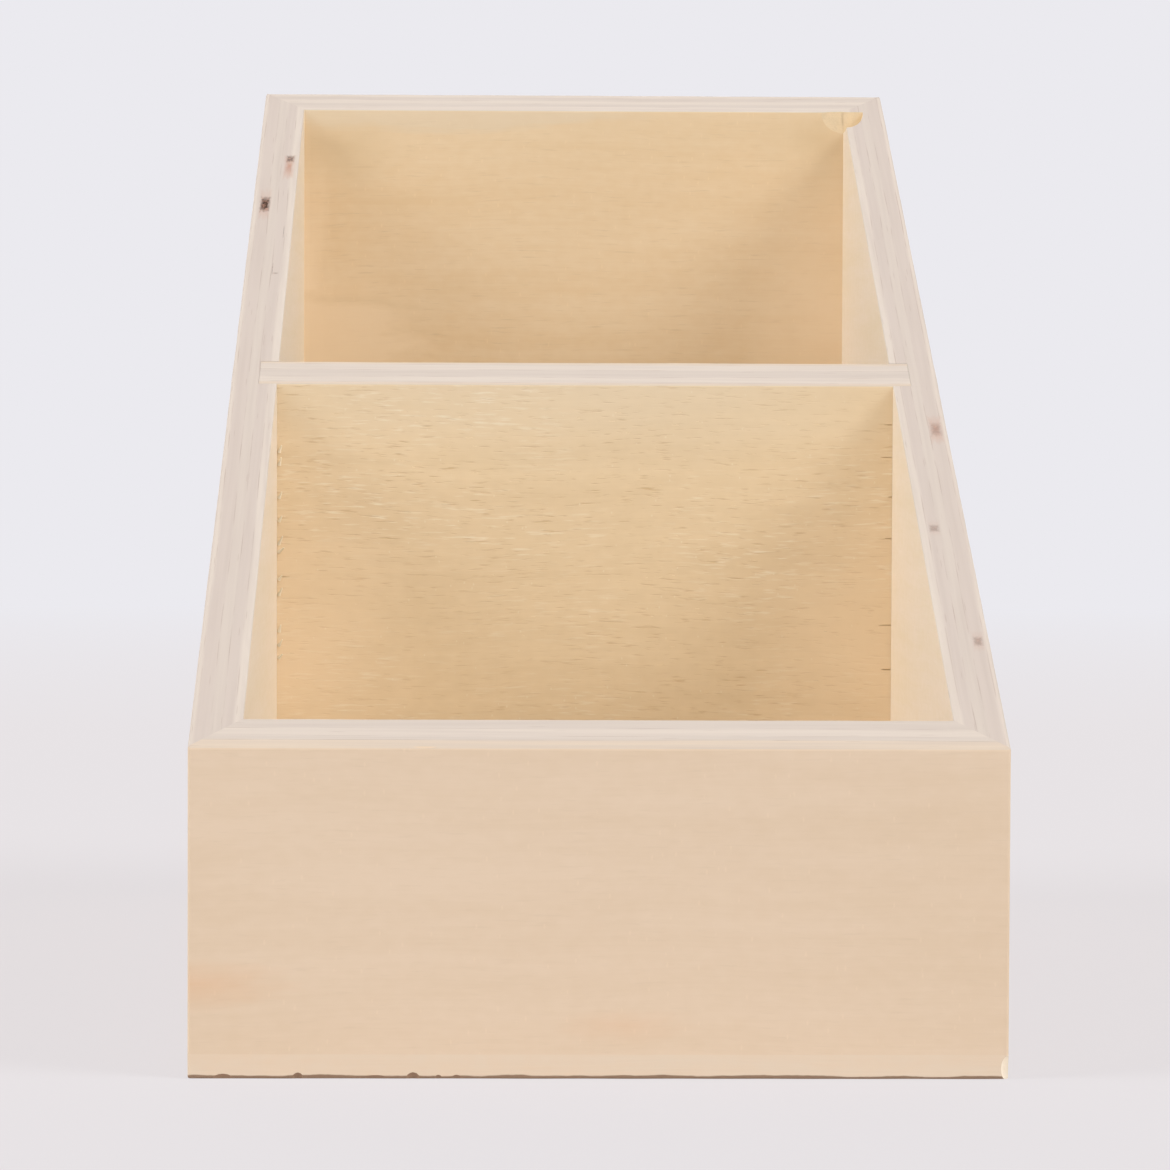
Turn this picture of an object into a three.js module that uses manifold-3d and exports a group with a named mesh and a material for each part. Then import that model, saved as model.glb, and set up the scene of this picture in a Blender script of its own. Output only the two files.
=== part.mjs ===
// Open storage box of bare plywood. Its rim slopes up from a low front wall to a tall back wall. The four
// walls have mitred corners and are glued on a base panel, and a divider drops into upright grooves in the
// two side walls and leaves two compartments with floors of one size.
// Millimetres, +Z up. X runs across the box and Y along it, with the front wall at -Y. The origin is the
// middle of the underside.
import * as THREE from "three";
import { mergeVertices } from "three/addons/utils/BufferGeometryUtils.js";
import Module from "manifold-3d";

const wasm = await Module();
wasm.setup();

// Outside of the box. The heights are those of the rim at the outer face of the front and back walls.
const boxLength = 200;
const boxWidth = 100;
const frontHeight = 40.5;
const backHeight = 130.5;

// Sheets that the panels are cut from.
const wallThickness = 6.5;
const baseThickness = 3;
const dividerThickness = 7;

// Joints: the film of glue in the mitres and under the walls, and the housing of the divider.
const glueFilm = 0.1;
const grooveDepth = 2.75;
const slideClearance = 0.15;
const endClearance = 0.15;
const seatClearance = 0.1;

// Edges that are sanded after gluing up.
const arrisRadius = 0.4;
const arrisSteps = 3;

// Places that follow from the sizes above.
const rimSlope = (backHeight - frontHeight) / boxLength;
const innerWidth = boxWidth - 2 * wallThickness;
const wallFoot = baseThickness + glueFilm;
const grooveWidth = dividerThickness + 2 * slideClearance;
const dividerLength = innerWidth + 2 * (grooveDepth - endClearance);
const dividerFoot = baseThickness + seatClearance;

/** Height of the rim above the underside, at a place along the box. */
function rimHeight(y) {
  return (frontHeight + backHeight) / 2 + rimSlope * y;
}

/** A closed three.js geometry as a solid that can be cut. */
function toSolid(geometry) {
  const bare = geometry.clone();
  bare.deleteAttribute("normal");
  bare.deleteAttribute("uv");
  const merged = mergeVertices(bare, 1e-4);
  return new wasm.Manifold(new wasm.Mesh({
    numProp: 3,
    vertProperties: new Float32Array(merged.attributes.position.array),
    triVerts: new Uint32Array(merged.index.array),
  }));
}

/** A cut solid as a three.js geometry with flat faces. */
function toGeometry(solid) {
  const mesh = solid.getMesh();
  const indexed = new THREE.BufferGeometry();
  indexed.setAttribute("position", new THREE.BufferAttribute(mesh.vertProperties, 3));
  indexed.setIndex(new THREE.BufferAttribute(mesh.triVerts, 1));
  const flat = indexed.toNonIndexed();
  flat.computeVertexNormals();
  return flat;
}

/** A bar lying along X: one long side on y = 0, the other on y = width, and both upper arrises rounded. */
function roundedBar(length, width, height) {
  const section = new THREE.Shape();
  section.moveTo(0, 0);
  section.lineTo(width, 0);
  section.absarc(width - arrisRadius, height - arrisRadius, arrisRadius, 0, Math.PI / 2, false);
  section.absarc(arrisRadius, height - arrisRadius, arrisRadius, Math.PI / 2, Math.PI, false);
  section.closePath();
  const bar = new THREE.ExtrudeGeometry(section, {
    depth: length,
    bevelEnabled: false,
    curveSegments: arrisSteps,
  });
  bar.translate(0, 0, -length / 2);
  const sectionToBar = new THREE.Matrix4().makeBasis(
    new THREE.Vector3(0, 1, 0),
    new THREE.Vector3(0, 0, 1),
    new THREE.Vector3(1, 0, 0),
  );
  return bar.applyMatrix4(sectionToBar);
}

/** A panel on edge whose top lies in the sloping rim, in the frame that the panel is then placed with: its
 *  outer face on y = 0, which stands at a place y along the box, turned by an angle about Z, and its foot on
 *  z = 0. The panel hangs on below its foot, to be sawn off level there. */
function slopedPanel(length, thickness, foot, y, turn) {
  const waste = backHeight;
  const panel = roundedBar(length, thickness, rimHeight(y) - foot + waste);
  panel.translate(0, 0, -waste);
  const alongX = rimSlope * Math.sin(turn);
  const alongY = rimSlope * Math.cos(turn);
  return panel.applyMatrix4(new THREE.Matrix4().makeShear(0, alongX, 0, alongY, 0, 0));
}

/** The plan of a wall between its two mitre cuts, which run on past its inner face. Each tip is half of a
 *  rounded corner of the box. */
function mitredPlan(length) {
  const tip = length / 2 - glueFilm / Math.SQRT2;
  const arcX = tip - arrisRadius;
  const pastInside = 2 * wallThickness;
  const plan = new THREE.Shape();
  plan.absarc(arcX, arrisRadius, arrisRadius, -Math.PI / 2, -Math.PI / 4, false);
  plan.lineTo(tip - pastInside, pastInside);
  plan.lineTo(pastInside - tip, pastInside);
  plan.absarc(-arcX, arrisRadius, arrisRadius, -Math.PI * 3 / 4, -Math.PI / 2, false);
  return plan;
}

/** A plan as an upright block, taller than any wall. */
function block(plan, bottom) {
  const upright = new THREE.ExtrudeGeometry(plan, {
    depth: 2 * backHeight,
    bevelEnabled: false,
    curveSegments: arrisSteps,
  });
  return toSolid(upright.translate(0, 0, bottom));
}

/** A rectangle between two corners. */
function rectangle(x0, y0, x1, y1) {
  return new THREE.Shape([
    new THREE.Vector2(x0, y0),
    new THREE.Vector2(x1, y0),
    new THREE.Vector2(x1, y1),
    new THREE.Vector2(x0, y1),
  ]);
}

/** A wall, mitred at both ends and sawn off at its foot. A side wall also has a groove for the divider. */
function wall(length, y, turn, grooved) {
  const panel = toSolid(slopedPanel(length, wallThickness, wallFoot, y, turn));
  const mitred = panel.intersect(block(mitredPlan(length), 0));
  if (!grooved) {
    return toGeometry(mitred);
  }
  const grooveFloor = wallThickness - grooveDepth;
  const groovePlan = rectangle(-grooveWidth / 2, grooveFloor, grooveWidth / 2, 2 * wallThickness);
  return toGeometry(mitred.subtract(block(groovePlan, -backHeight / 2)));
}

/** The divider, sawn off at its foot. */
function dividerPanel(y) {
  const panel = toSolid(slopedPanel(dividerLength, dividerThickness, dividerFoot, y, 0));
  const plan = rectangle(-dividerLength, -dividerThickness, dividerLength, 2 * dividerThickness);
  return toGeometry(panel.intersect(block(plan, 0)));
}

/** A flat bar turned over and centred, so that its rounded arrises are underneath. */
function turnedOver(length, width, height) {
  return roundedBar(length, width, height).rotateX(Math.PI).translate(0, width / 2, height);
}

/** The plan of the whole box, with its four corners rounded. */
function boxPlan() {
  const arcX = boxWidth / 2 - arrisRadius;
  const arcY = boxLength / 2 - arrisRadius;
  const corners = [[arcX, arcY], [-arcX, arcY], [-arcX, -arcY], [arcX, -arcY]];
  const plan = new THREE.Shape();
  corners.forEach(([x, y], corner) => {
    plan.absarc(x, y, arrisRadius, corner * Math.PI / 2, (corner + 1) * Math.PI / 2, false);
  });
  return plan;
}

/** The base panel: rounded corners under those of the walls, and rounded lower arrises on all four sides. */
function basePanel() {
  const pastEdge = 2 * wallThickness;
  const endsRounded = toSolid(turnedOver(boxWidth + pastEdge, boxLength, baseThickness));
  const lengthways = turnedOver(boxLength + pastEdge, boxWidth, baseThickness).rotateZ(Math.PI / 2);
  const sidesRounded = toSolid(lengthways);
  return toGeometry(endsRounded.intersect(sidesRounded).intersect(block(boxPlan(), -baseThickness)));
}

/** One named piece of bare wood. */
function piece(name, geometry, color) {
  const material = new THREE.MeshStandardMaterial({ color, roughness: 0.8, metalness: 0 });
  const mesh = new THREE.Mesh(geometry, material);
  mesh.name = name;
  return mesh;
}

const wallColor = 0xe1c8af;
const baseColor = 0xe3ceb7;
const dividerColor = 0xdfc59f;

const box = new THREE.Group();
box.name = "storage_box";
box.add(piece("base_panel", basePanel(), baseColor));

// Each wall is made with its outer face on y = 0, then turned to face out of its side of the box.
const sides = [
  { name: "front_wall", length: boxWidth, at: [0, -boxLength / 2], turn: 0, grooved: false },
  { name: "right_wall", length: boxLength, at: [boxWidth / 2, 0], turn: Math.PI / 2, grooved: true },
  { name: "back_wall", length: boxWidth, at: [0, boxLength / 2], turn: Math.PI, grooved: false },
  { name: "left_wall", length: boxLength, at: [-boxWidth / 2, 0], turn: -Math.PI / 2, grooved: true },
];
for (const { name, length, at: [x, y], turn, grooved } of sides) {
  const mesh = piece(name, wall(length, y, turn, grooved), wallColor);
  mesh.position.set(x, y, wallFoot);
  mesh.rotation.z = turn;
  box.add(mesh);
}

// The divider stands across the middle of the box.
const dividerFace = -dividerThickness / 2;
const divider = piece("divider", dividerPanel(dividerFace), dividerColor);
divider.position.set(0, dividerFace, dividerFoot);
box.add(divider);

export default box;
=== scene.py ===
"""Looks of an open plywood storage box with a sloping rim and a lift-out divider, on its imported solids."""
import math
import random
from collections import namedtuple

import bmesh
import bpy
from bpy.props import FloatProperty, FloatVectorProperty, IntProperty, PointerProperty
from mathutils import Matrix, Vector, noise


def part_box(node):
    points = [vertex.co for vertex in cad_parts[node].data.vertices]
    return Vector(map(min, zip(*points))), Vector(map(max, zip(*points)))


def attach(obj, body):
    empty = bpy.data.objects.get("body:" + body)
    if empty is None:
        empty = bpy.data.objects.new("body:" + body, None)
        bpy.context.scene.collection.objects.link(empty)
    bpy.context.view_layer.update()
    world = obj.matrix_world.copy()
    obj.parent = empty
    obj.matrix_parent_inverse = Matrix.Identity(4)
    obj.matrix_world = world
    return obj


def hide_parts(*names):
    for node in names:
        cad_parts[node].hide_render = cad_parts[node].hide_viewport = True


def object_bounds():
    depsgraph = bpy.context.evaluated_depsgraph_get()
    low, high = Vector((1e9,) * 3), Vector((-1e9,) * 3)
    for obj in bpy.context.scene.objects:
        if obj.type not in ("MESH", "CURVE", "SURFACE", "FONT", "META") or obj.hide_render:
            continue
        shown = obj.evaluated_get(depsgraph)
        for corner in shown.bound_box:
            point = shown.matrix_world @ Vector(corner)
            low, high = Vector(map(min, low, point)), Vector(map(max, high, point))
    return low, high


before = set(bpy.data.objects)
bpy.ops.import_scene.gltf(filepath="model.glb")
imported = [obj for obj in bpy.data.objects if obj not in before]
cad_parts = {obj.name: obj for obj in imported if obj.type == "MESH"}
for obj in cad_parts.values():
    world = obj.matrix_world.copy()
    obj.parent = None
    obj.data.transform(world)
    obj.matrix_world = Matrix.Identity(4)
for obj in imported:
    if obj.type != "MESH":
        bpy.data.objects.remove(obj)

bl_info = {
    "name": "Plywood storage box",
    "version": (1, 0, 0),
    "blender": (4, 5, 0),
    "location": "3D View > Sidebar > Storage box",
    "description": "Dresses the solids of a plywood storage box with a sloping rim",
    "category": "Object",
}

MM = 0.001
CAD_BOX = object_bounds()
BOX_SIZE = CAD_BOX[1] - CAD_BOX[0]
WALL_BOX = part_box("front_wall")
BASE_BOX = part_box("base_panel")
DIVIDER_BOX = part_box("divider")
WALL_THICKNESS = WALL_BOX[1].y - WALL_BOX[0].y
HALF_WIDTH = BOX_SIZE.x / 2
HALF_LENGTH = BOX_SIZE.y / 2
BACK_FACE = HALF_LENGTH - WALL_THICKNESS

# The grooves of the side walls, with a little air around the divider.
FREE_FIT = 0.03 * MM
GROOVE_FLOOR = DIVIDER_BOX[1].x + FREE_FIT
GROOVE_SIDE = DIVIDER_BOX[1].y + FREE_FIT

# Axes that a sheet's grain, its fibres or its edges run along.
ALONG_X = 0
ALONG_Y = 1
ALONG_Z = 2

# Material slots of a panel.
OUTSIDE = 0
EDGE = 1
INSIDE = 2
TORN = 3
LIFTED = 4

# Damage from the saw and from handling: the centre and the three half sizes of each gouge, in millimetres.
# Only the cap of the dish reaches into the back wall.
CORNER_SCOOP = ((43.5, 93.5, 127.6), (3.1, 11, 3.4))
CORNER_DISH = ((43.2, 90.5, 127.6), (11.8, 3.15, 11.8))
FRONT_DENT = ((-21.2, -100, 40.9), (3.4, 0.35, 0.6))
FOOT_CHIPS = (
    ((-45.7, -100, 0), (1.3, 0.25, 0.65)),
    ((-36.6, -100, 0.1), (0.7, 0.35, 0.7)),
    ((-27.1, -100, 0), (1.6, 0.25, 0.5)),
    ((-22.6, -100, 0.1), (0.85, 0.35, 0.75)),
    ((-19.5, -100, 0), (0.5, 0.25, 0.55)),
    ((-17.3, -100, 0), (0.7, 0.25, 0.55)),
)
CORNER_NOTCH = ((50, -100, 1.3), (0.95, 0.45, 1.65))
EDGE_SPLITS = (
    ((42.9, -3.5, 50.0), (1.4, 0.3, 0.10)),
    ((43.0, -3.5, 43.7), (1.1, 0.3, 0.13)),
    ((43.2, -3.5, 62.3), (0.9, 0.3, 0.09)),
    ((43.4, -3.5, 68.2), (0.7, 0.3, 0.11)),
    ((42.8, -3.5, 73.8), (1.3, 0.3, 0.08)),
    ((43.1, -3.5, 78.4), (1.0, 0.3, 0.09)),
    ((-42.6, -3.5, 56.6), (1.0, 0.3, 0.07)),
)

# Long checks in the faces of the divider, in millimetres. A half run is the shortest one plus a random
# share of the stretch. The margins keep checks off the ends, the foot and the rim, and the gaps keep them
# off one another.
CHECK_SHORTEST = 0.25
CHECK_STRETCH = 0.9
CHECK_DEPTHS = (0.06, 0.12)
CHECK_HALF_HEIGHTS = (0.04, 0.07)
CHECK_END_MARGIN = 4
CHECK_RIM_MARGIN = 2
CHECK_END_GAP = 0.3
CHECK_SIDE_GAP = 0.5

# Frayed fibres on the left edge of the divider: height, length and tilt of each, in millimetres and
# degrees.
FRAYS = (
    (74.4, 1.2, 20), (72.6, 1.3, 15), (67.9, 1.1, 25), (64.6, 1.0, 30), (61.4, 1.5, 25), (60.2, 1.2, 50),
    (56.3, 0.9, 35), (54.2, 1.3, 25), (49.0, 1.2, 15), (47.0, 1.2, 30), (45.2, 0.9, 45),
)
FRAY_X = -43.15 * MM
FRAY_FOOT = 0.28 * MM
FRAY_TIP = 0.08 * MM
FRAY_LEAN = math.radians(30)

# Spacing of the waves that hand sanding leaves along an edge.
SANDING_WAVE = 7 * MM

# Steps in half of a rounded corner of the box.
ARC_STEPS = 2

# How near a point counts as on a plane, and how near two shares of a normal count as equal.
CUT_TOLERANCE = 1e-7
NEAR = 0.01 * MM
NEARLY = 0.01

# Least share of a normal along a direction, for a face that lies square to it, a flat face that looks that
# way, a face that turns with the rounded tip of a wall, and a face of the outside. The last is the most
# that a face of the outside looks up.
SQUARE = 0.999
FLAT = 0.9
ROUNDED = 0.8
OUTWARD = 0.55
UPWARD = 0.4

# A figure in the wood: its run along the grain and its width over it in millimetres, and the detail of its
# noise. For marks, also the noise where a mark starts and where it is full. The share is that of its tint,
# or of the tone.
Figure = namedtuple("Figure", "run width detail start full share", defaults=(0.0, 1.0, 1.0))
CLOUDS = Figure(70, 18, 3.0)
GROWTH_LINES = Figure(60, 2.4, 2.0)
FIBRES = Figure(12, 0.35, 3.0, share=0.6)
MOTTLE = Figure(2.2, 1.3, 1.0, share=0.7)
PORES = Figure(4, 0.3, 2.0, 0.6, 0.78)
PEELING_CHECKS = Figure(2.8, 0.3, 2.0, 0.59, 0.76, 0.58)
# Light streaks in the rough patches of the divider: painted highlights where lifted lips catch the light.
PEELING_LIPS = Figure(3.2, 0.32, 2.0, 0.55, 0.72, 0.62)
ROUGH_PATCHES = Figure(22, 11, 1.0, 0.4, 0.65)
PLY_WAVES = Figure(40, 20, 2.0)
GLUE_BREAKS = Figure(9, 1.4, 2.0, 0.45, 0.65, 0.6)
EDGE_STREAKS = Figure(30, 0.7, 3.0, 0.4, 0.8, 0.5)
BARK = Figure(0.5, 0.5, 3.0, 0.48, 0.75)
# Ragged top and share of the painted shade along the foot of the base.
FOOT_SHADE = Figure(5, 2, 4.0, 0.3, 0.7, 0.85)

# Short lens-shaped dashes: spacing along and across in millimetres, reach as a share of that, and share of
# the tint.
Dash = namedtuple("Dash", "run width reach share")
RAISED_FIBRES = Dash(3, 1.2, 0.14, 0.25)
TORN_FLECKS = Dash(2.2, 1.5, 0.1, 0.3)
EDGE_SLITS = Dash(12, 0.6, 0.12, 0.35)

# How far the grain wanders, and over what distance.
WANDER = 3 * MM
WANDER_SPACING = 45 * MM

# Sums of the figures of plain wood at which it is all light and all dark.
LIGHT_SUM = 1.25
DARK_SUM = 2.05

# Factors on a colour: shade in pores and between torn fibres, and light on raised ones.
SHADE = 0.88
GLINT = 1.12

# Plies in a cut edge: how far their lines stray, half of the blur between two and half of the line of glue.
PLY_WAVER = 0.4 * MM
PLY_BLUR = 0.25 * MM
GLUE_HALF_WIDTH = 0.06 * MM

# Size of the ring around a knot, in the knot's own half sizes.
RING_ACROSS = 1.15
RING_ALONG = 2

# The painted shade along the foot of the base, where it meets the floor: its lowest and highest top, and half
# of its blur.
FOOT_SHADE_LOW = 0.3 * MM
FOOT_SHADE_HIGH = 0.6 * MM
FOOT_SHADE_BLUR = 0.06 * MM

# The outline of a patch: how finely and how far it is torn, and the softness of most patches of stain and of
# painted light and shade, in half sizes.
TEAR_SCALE = 2.5
TEAR = 0.7
SOFT = 1.2

# The part of the divider where peeling left the wood smoother: centre, half sizes in millimetres and
# softness. A share of the marks shows there.
CALM_PATCH = ((-16, -3.5, 46), (46, 20, 22), SOFT)
CALM_SHARE = 0.35

# Share of the plain fibres in the relief of the peeled veneer.
FIBRE_RELIEF = 0.3

# Patches of colour on the faces that look to the front or the back: centre and half sizes in millimetres,
# softness, share and the name of a colour. All reach as far into the sheet. On the front they are real stain
# in the wood. On the inside of the back and on the divider most are painted light: a paler glow low in the
# corners, and painted shade along the top and high in the corners. The rest there is figure in the wood.
STAIN_AND_LIGHT_DEPTH = 20
Stain = namedtuple("Stain", "x z half_x half_z softness share tint")
FRONT_STAINS = (
    Stain(-50, 11.5, 14, 3.4, SOFT, 0.45, "stain"),
    Stain(3, 6.5, 9, 2.4, SOFT, 0.25, "stain"),
    Stain(38.4, 20, 3, 4, SOFT, 0.35, "outside_dark"),
)
BACK_STAINS_AND_PAINTED_LIGHT = (
    # Painted glow: paler wood low in both corners and up the left edge of the back, where light bounces off
    # the walls.
    Stain(-46, 90, 22, 14, SOFT, 0.7, "sapwood"),
    Stain(44, 93, 18, 28, SOFT, 0.95, "sapwood"),
    Stain(-43.5, 100, 5, 26, SOFT, 0.8, "sapwood"),
    # Painted shade: darker along the top of the back, high in its two corners and under the notch at the
    # right.
    Stain(0, 130, 70, 12, SOFT, 0.6, "divider_dark"),
    Stain(-38, 121, 13, 8, SOFT, 0.8, "divider_dark"),
    Stain(-38, 121.5, 10, 6, SOFT, 0.35, "shade"),
    Stain(40, 122, 12, 9, SOFT, 0.9, "divider_dark"),
    Stain(39.5, 123, 5.5, 4.5, SOFT, 0.35, "shade"),
    # Figure in the wood: a pale tongue with a darker edge low on the left, and a darker band near the top.
    Stain(-46, 91, 25, 8, 0.2, 0.2, "shade"),
    Stain(-46, 90.6, 24, 7.4, 0.25, 0.5, "sapwood"),
    Stain(-22, 129, 36, 5.2, 0.2, 0.4, "inside_dark"),
)
DIVIDER_PAINTED_LIGHT = (
    # Painted glow low in both corners of the divider, where light bounces off the side walls.
    Stain(42, 43, 20, 28, SOFT, 0.7, "sapwood"),
    Stain(-42, 43, 20, 28, SOFT, 0.65, "sapwood"),
    # Painted shade along the top of the divider and high in its right corner.
    Stain(0, 84, 70, 12, SOFT, 0.6, "inside_dark"),
    Stain(40, 82, 16, 10, SOFT, 0.6, "divider_dark"),
)

# Plies from the outer face inwards: the depth where each starts, in millimetres, and the name of its
# colour.
FRONT_PLIES = ((0, "edge_warm"), (1.7, "edge_long"), (2.6, "edge_veneer"), (4.4, "edge_long"))
BACK_PLIES = (
    (0, "edge_veneer"), (1.2, "edge_long"), (2.4, "edge_veneer"), (3.9, "edge_long"), (4.8, "edge_veneer"),
)
SIDE_PLIES = (
    (0, "edge_veneer"), (0.7, "edge_cross"), (2.5, "edge_long"), (3.9, "edge_cross"), (5.35, "edge_veneer"),
)
DIVIDER_PLIES = ((0, "edge_warm"), (0.7, "edge_veneer"), (2.4, "edge_long"))

# Knots in the rims of the side walls: centre and half sizes in millimetres, share of the knot and of its
# ring.
Knot = namedtuple("Knot", "centre radii share ring")
SIDE_KNOTS = (
    Knot((-48.1, 57, 111), (0.85, 3.0, 9), 1.0, 0.5),
    Knot((-45, 71, 117), (0.8, 2.4, 9), 0.1, 0.8),
    Knot((-44.9, 74, 118), (0.75, 1.4, 9), 0.7, 0.0),
    Knot((48.4, -16.6, 78), (0.95, 2.2, 9), 0.3, 0.6),
    Knot((45.6, -44.9, 65), (0.8, 1.1, 9), 0.35, 0.2),
    Knot((-45.9, 34, 101), (0.07, 2.2, 9), 0.5, 0.0),
    Knot((-45.4, 32.5, 100), (0.5, 0.35, 9), 0.35, 0.0),
    Knot((-44.8, 47, 106), (0.08, 2.4, 9), 0.4, 0.0),
    Knot((48.5, -74.4, 52), (0.75, 1.3, 9), 0.35, 0.3),
)

# Soft lamps: the direction in which each stands and its spread in degrees. The stage has its strength by
# this name.
LAMPS = {
    "left_lamp": ((-1, -0.2, 0.76), 28),
    "right_lamp": ((1, -0.37, 0.95), 28),
    "front_lamp": ((0, -1, 0.2), 60),
    "back_lamp": ((0, 1, 0.25), 60),
}

# The floor in metres: its radius, and the distances from the box where its near tone ends and the
# backdrop's starts.
FLOOR_RADIUS = 40
FLOOR_NEAR = 0.45
FLOOR_FAR = 1.0

# The camera's sensor in millimetres, and the nearest and farthest that it sees in metres.
SENSOR_WIDTH = 36
SIGHT = (0.01, 200)

# Sockets of a Mix node that mixes colours. Its other sockets have the same names.
FACTOR = 0
FIRST = 6
SECOND = 7
MIXED = 2


def linear(code):
    """A colour written as sRGB hex, as linear red, green, blue and alpha."""
    shares = [int(code[start:start + 2], 16) / 255 for start in (0, 2, 4)]
    return (*(s / 12.92 if s <= 0.04045 else ((s + 0.055) / 1.055) ** 2.4 for s in shares), 1.0)


def length(name, description, default):
    """A size in metres."""
    return FloatProperty(name=name, description=description, default=default, unit="LENGTH", precision=5)


def strength(name, description, default):
    """The strength of a light."""
    return FloatProperty(name=name, description=description, default=default)


def angle(name, description, default):
    """A turn of the camera, in radians."""
    return FloatProperty(name=name, description=description, default=default, subtype="ANGLE")


def colour(name, description, code):
    """A colour of the wood or of the stage."""
    default = linear(code)
    return FloatVectorProperty(name=name, description=description, default=default, size=4, subtype="COLOR")


class BoxSizes(bpy.types.PropertyGroup):
    """Sizes of the box that its solids don't give directly."""

    front_height: length("Front height", "Rim over the floor, at the front face", 40.5 * MM)
    back_height: length("Back height", "Rim over the floor, at the back face", 130.5 * MM)
    arris: length("Arris", "Radius of the sanded edges", 0.4 * MM)
    inner_arris: length("Inner arris", "Radius of the edges along the inside of the rim", 0.2 * MM)
    foot_arris: length("Foot arris", "Radius of the worn edge under the base", 0.25 * MM)
    unevenness: length("Unevenness", "How far hand sanding strays along the edges", 0.07 * MM)
    slice: length("Slice", "Spacing of the points along an edge", 1.5 * MM)
    checks: IntProperty(
        name="Checks",
        description="Long checks in each face of the divider",
        default=200,
        min=0,
    )
    seed: IntProperty(name="Seed", description="Start of the draw that places the checks", default=4)


class WoodColours(bpy.types.PropertyGroup):
    """Colours of the bare wood."""

    outside: colour("Outside", "Veneer of the outer faces", "DBC4AB")
    outside_dark: colour("Outside, dark", "Late wood in that veneer", "D6BEA3")
    # The inner veneers are painted paler and warmer than the outer ones of the same sheets: painted light
    # that brightens the compartments.
    inside: colour("Inside", "Veneer of the inner faces of the sides", "EBDDCC")
    inside_dark: colour("Inside, dark", "Late wood in that veneer", "E6D7BF")
    inside_ends: colour("Inside of the ends", "Veneer of the inner faces of the front and back", "F1D8B4")
    inside_ends_dark: colour("Inside of the ends, dark", "Late wood in that veneer", "EBCEA5")
    divider: colour("Divider", "Peeled veneer of the divider", "EED7B3")
    divider_dark: colour("Divider, dark", "Late wood in that veneer", "E6CEA9")
    # Painted light: a paler glow low in the corners of the compartments and up the left edge of the back,
    # where light bounces off the side walls. The same colour also tints the pale tongue of figure low on the
    # back.
    sapwood: colour("Sapwood", "Paler wood low in the corners of the compartments", "FFE7C6")
    # Painted shade high in the corners of the back and under the notch at the right. The same colour also
    # darkens the edge of a tongue of figure low on the back.
    shade: colour("Shade", "Darker wood in the corners of the back", "D3B384")
    fleck: colour("Fleck", "Torn fibres that stand up and catch the light", "FBF1DC")
    check: colour("Check", "Wood inside the short splits that peeling leaves", "CBA97A")
    stain: colour("Stain", "Warm heartwood on the front", "D9A679")
    edge_veneer: colour("Edge of the veneer", "Cut edge of the face veneers", "D4C7BB")
    edge_long: colour("Edge of the core", "Cut edge of the ply along the wall", "CDC0B5")
    edge_cross: colour("Edge of the cross plies", "End grain of the plies across the wall", "CABCB2")
    edge_warm: colour("Edge of the front", "Warmer edge of the veneers towards the front", "D4C2AF")
    edge_streak: colour("Streak", "Grey streaks in the cut edges", "BEAFA5")
    glue: colour("Glue line", "Line of glue between two plies", "AC968A")
    knot: colour("Knot", "Knots that the saw went through", "3F2818")
    knot_ring: colour("Ring of a knot", "Reddish wood around a knot", "BF8E78")
    base_edge: colour("Edge of the base", "Cut edge of the base", "DAC7B1")
    # Painted shade: the dark line along the foot of the base, where it meets the floor.
    foot: colour("Foot", "Scuffed lower edge of the base", "7A5C45")
    chip: colour("Chip", "Torn wood in the chips of the lower edge", "9C7F68")


class StageSettings(bpy.types.PropertyGroup):
    """Floor, lights and camera."""

    floor: colour("Floor", "Matt white floor", "F1F0F3")
    near: colour("Floor, near", "Floor around the box as the camera sees it", "E2DDDF")
    backdrop: colour("Backdrop", "Pale backdrop behind the floor", "EBEAEF")
    sky: strength("Room light", "Even light from all round", 0.33)
    left_lamp: strength("Left lamp", "Strength of the soft lamp on the left", 1.78)
    right_lamp: strength("Right lamp", "Strength of the soft lamp on the right", 1.8)
    front_lamp: strength("Front lamp", "Strength of the soft lamp in front", 0.7)
    back_lamp: strength("Back lamp", "Strength of the soft lamp behind", 0.8)
    shadow: FloatProperty(
        name="Floor shadow",
        description="Share of the floor's own shading that the camera sees",
        default=0.15,
        subtype="FACTOR",
    )
    lens: FloatProperty(name="Lens", description="Focal length", default=145.13, unit="CAMERA")
    eye: FloatVectorProperty(
        name="Eye",
        description="Place of the camera",
        default=(-13.603 * MM, -670.412 * MM, 87.554 * MM),
        subtype="TRANSLATION",
    )
    yaw: angle("Yaw", "Turn to the right", 0.02049)
    pitch: angle("Pitch", "Tilt downwards", 0.04788)
    roll: angle("Roll", "Turn about the line of sight", 0.00407)


# Materials


def add(tree, kind, inputs=None, **settings):
    """Adds a node with its settings. Each input is a value to set, or another node's socket to link."""
    node = tree.nodes.new("ShaderNode" + kind)
    for name, value in settings.items():
        setattr(node, name, value)
    for key, value in (inputs or {}).items():
        if isinstance(value, bpy.types.NodeSocket):
            tree.links.new(value, node.inputs[key])
        else:
            node.inputs[key].default_value = value
    return node


def seen_directly(tree):
    """1 for what the camera sees, also by a reflection or through glass, and 0 for light that bounces."""
    ray = add(tree, "LightPath").outputs
    seen = ray["Is Camera Ray"]
    for kind in ("Is Glossy Ray", "Is Transmission Ray"):
        seen = add(tree, "Math", {0: seen, 1: ray[kind]}, operation="MAXIMUM").outputs["Value"]
    return seen


def start_material(name):
    """A new material, its node tree and its shader, with dry bare wood's gloss."""
    material = bpy.data.materials.new(name)
    material.use_nodes = True
    tree = material.node_tree
    shader = tree.nodes["Principled BSDF"]
    shader.inputs["Roughness"].default_value = 0.72
    shader.inputs["IOR"].default_value = 1.45
    shader.inputs["Specular IOR Level"].default_value = 0.25
    return material, tree, shader


def toned(tint, factor):
    """A colour made darker or lighter by a factor."""
    return [min(1.0, share * factor) for share in tint[:3]] + [1]


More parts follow.
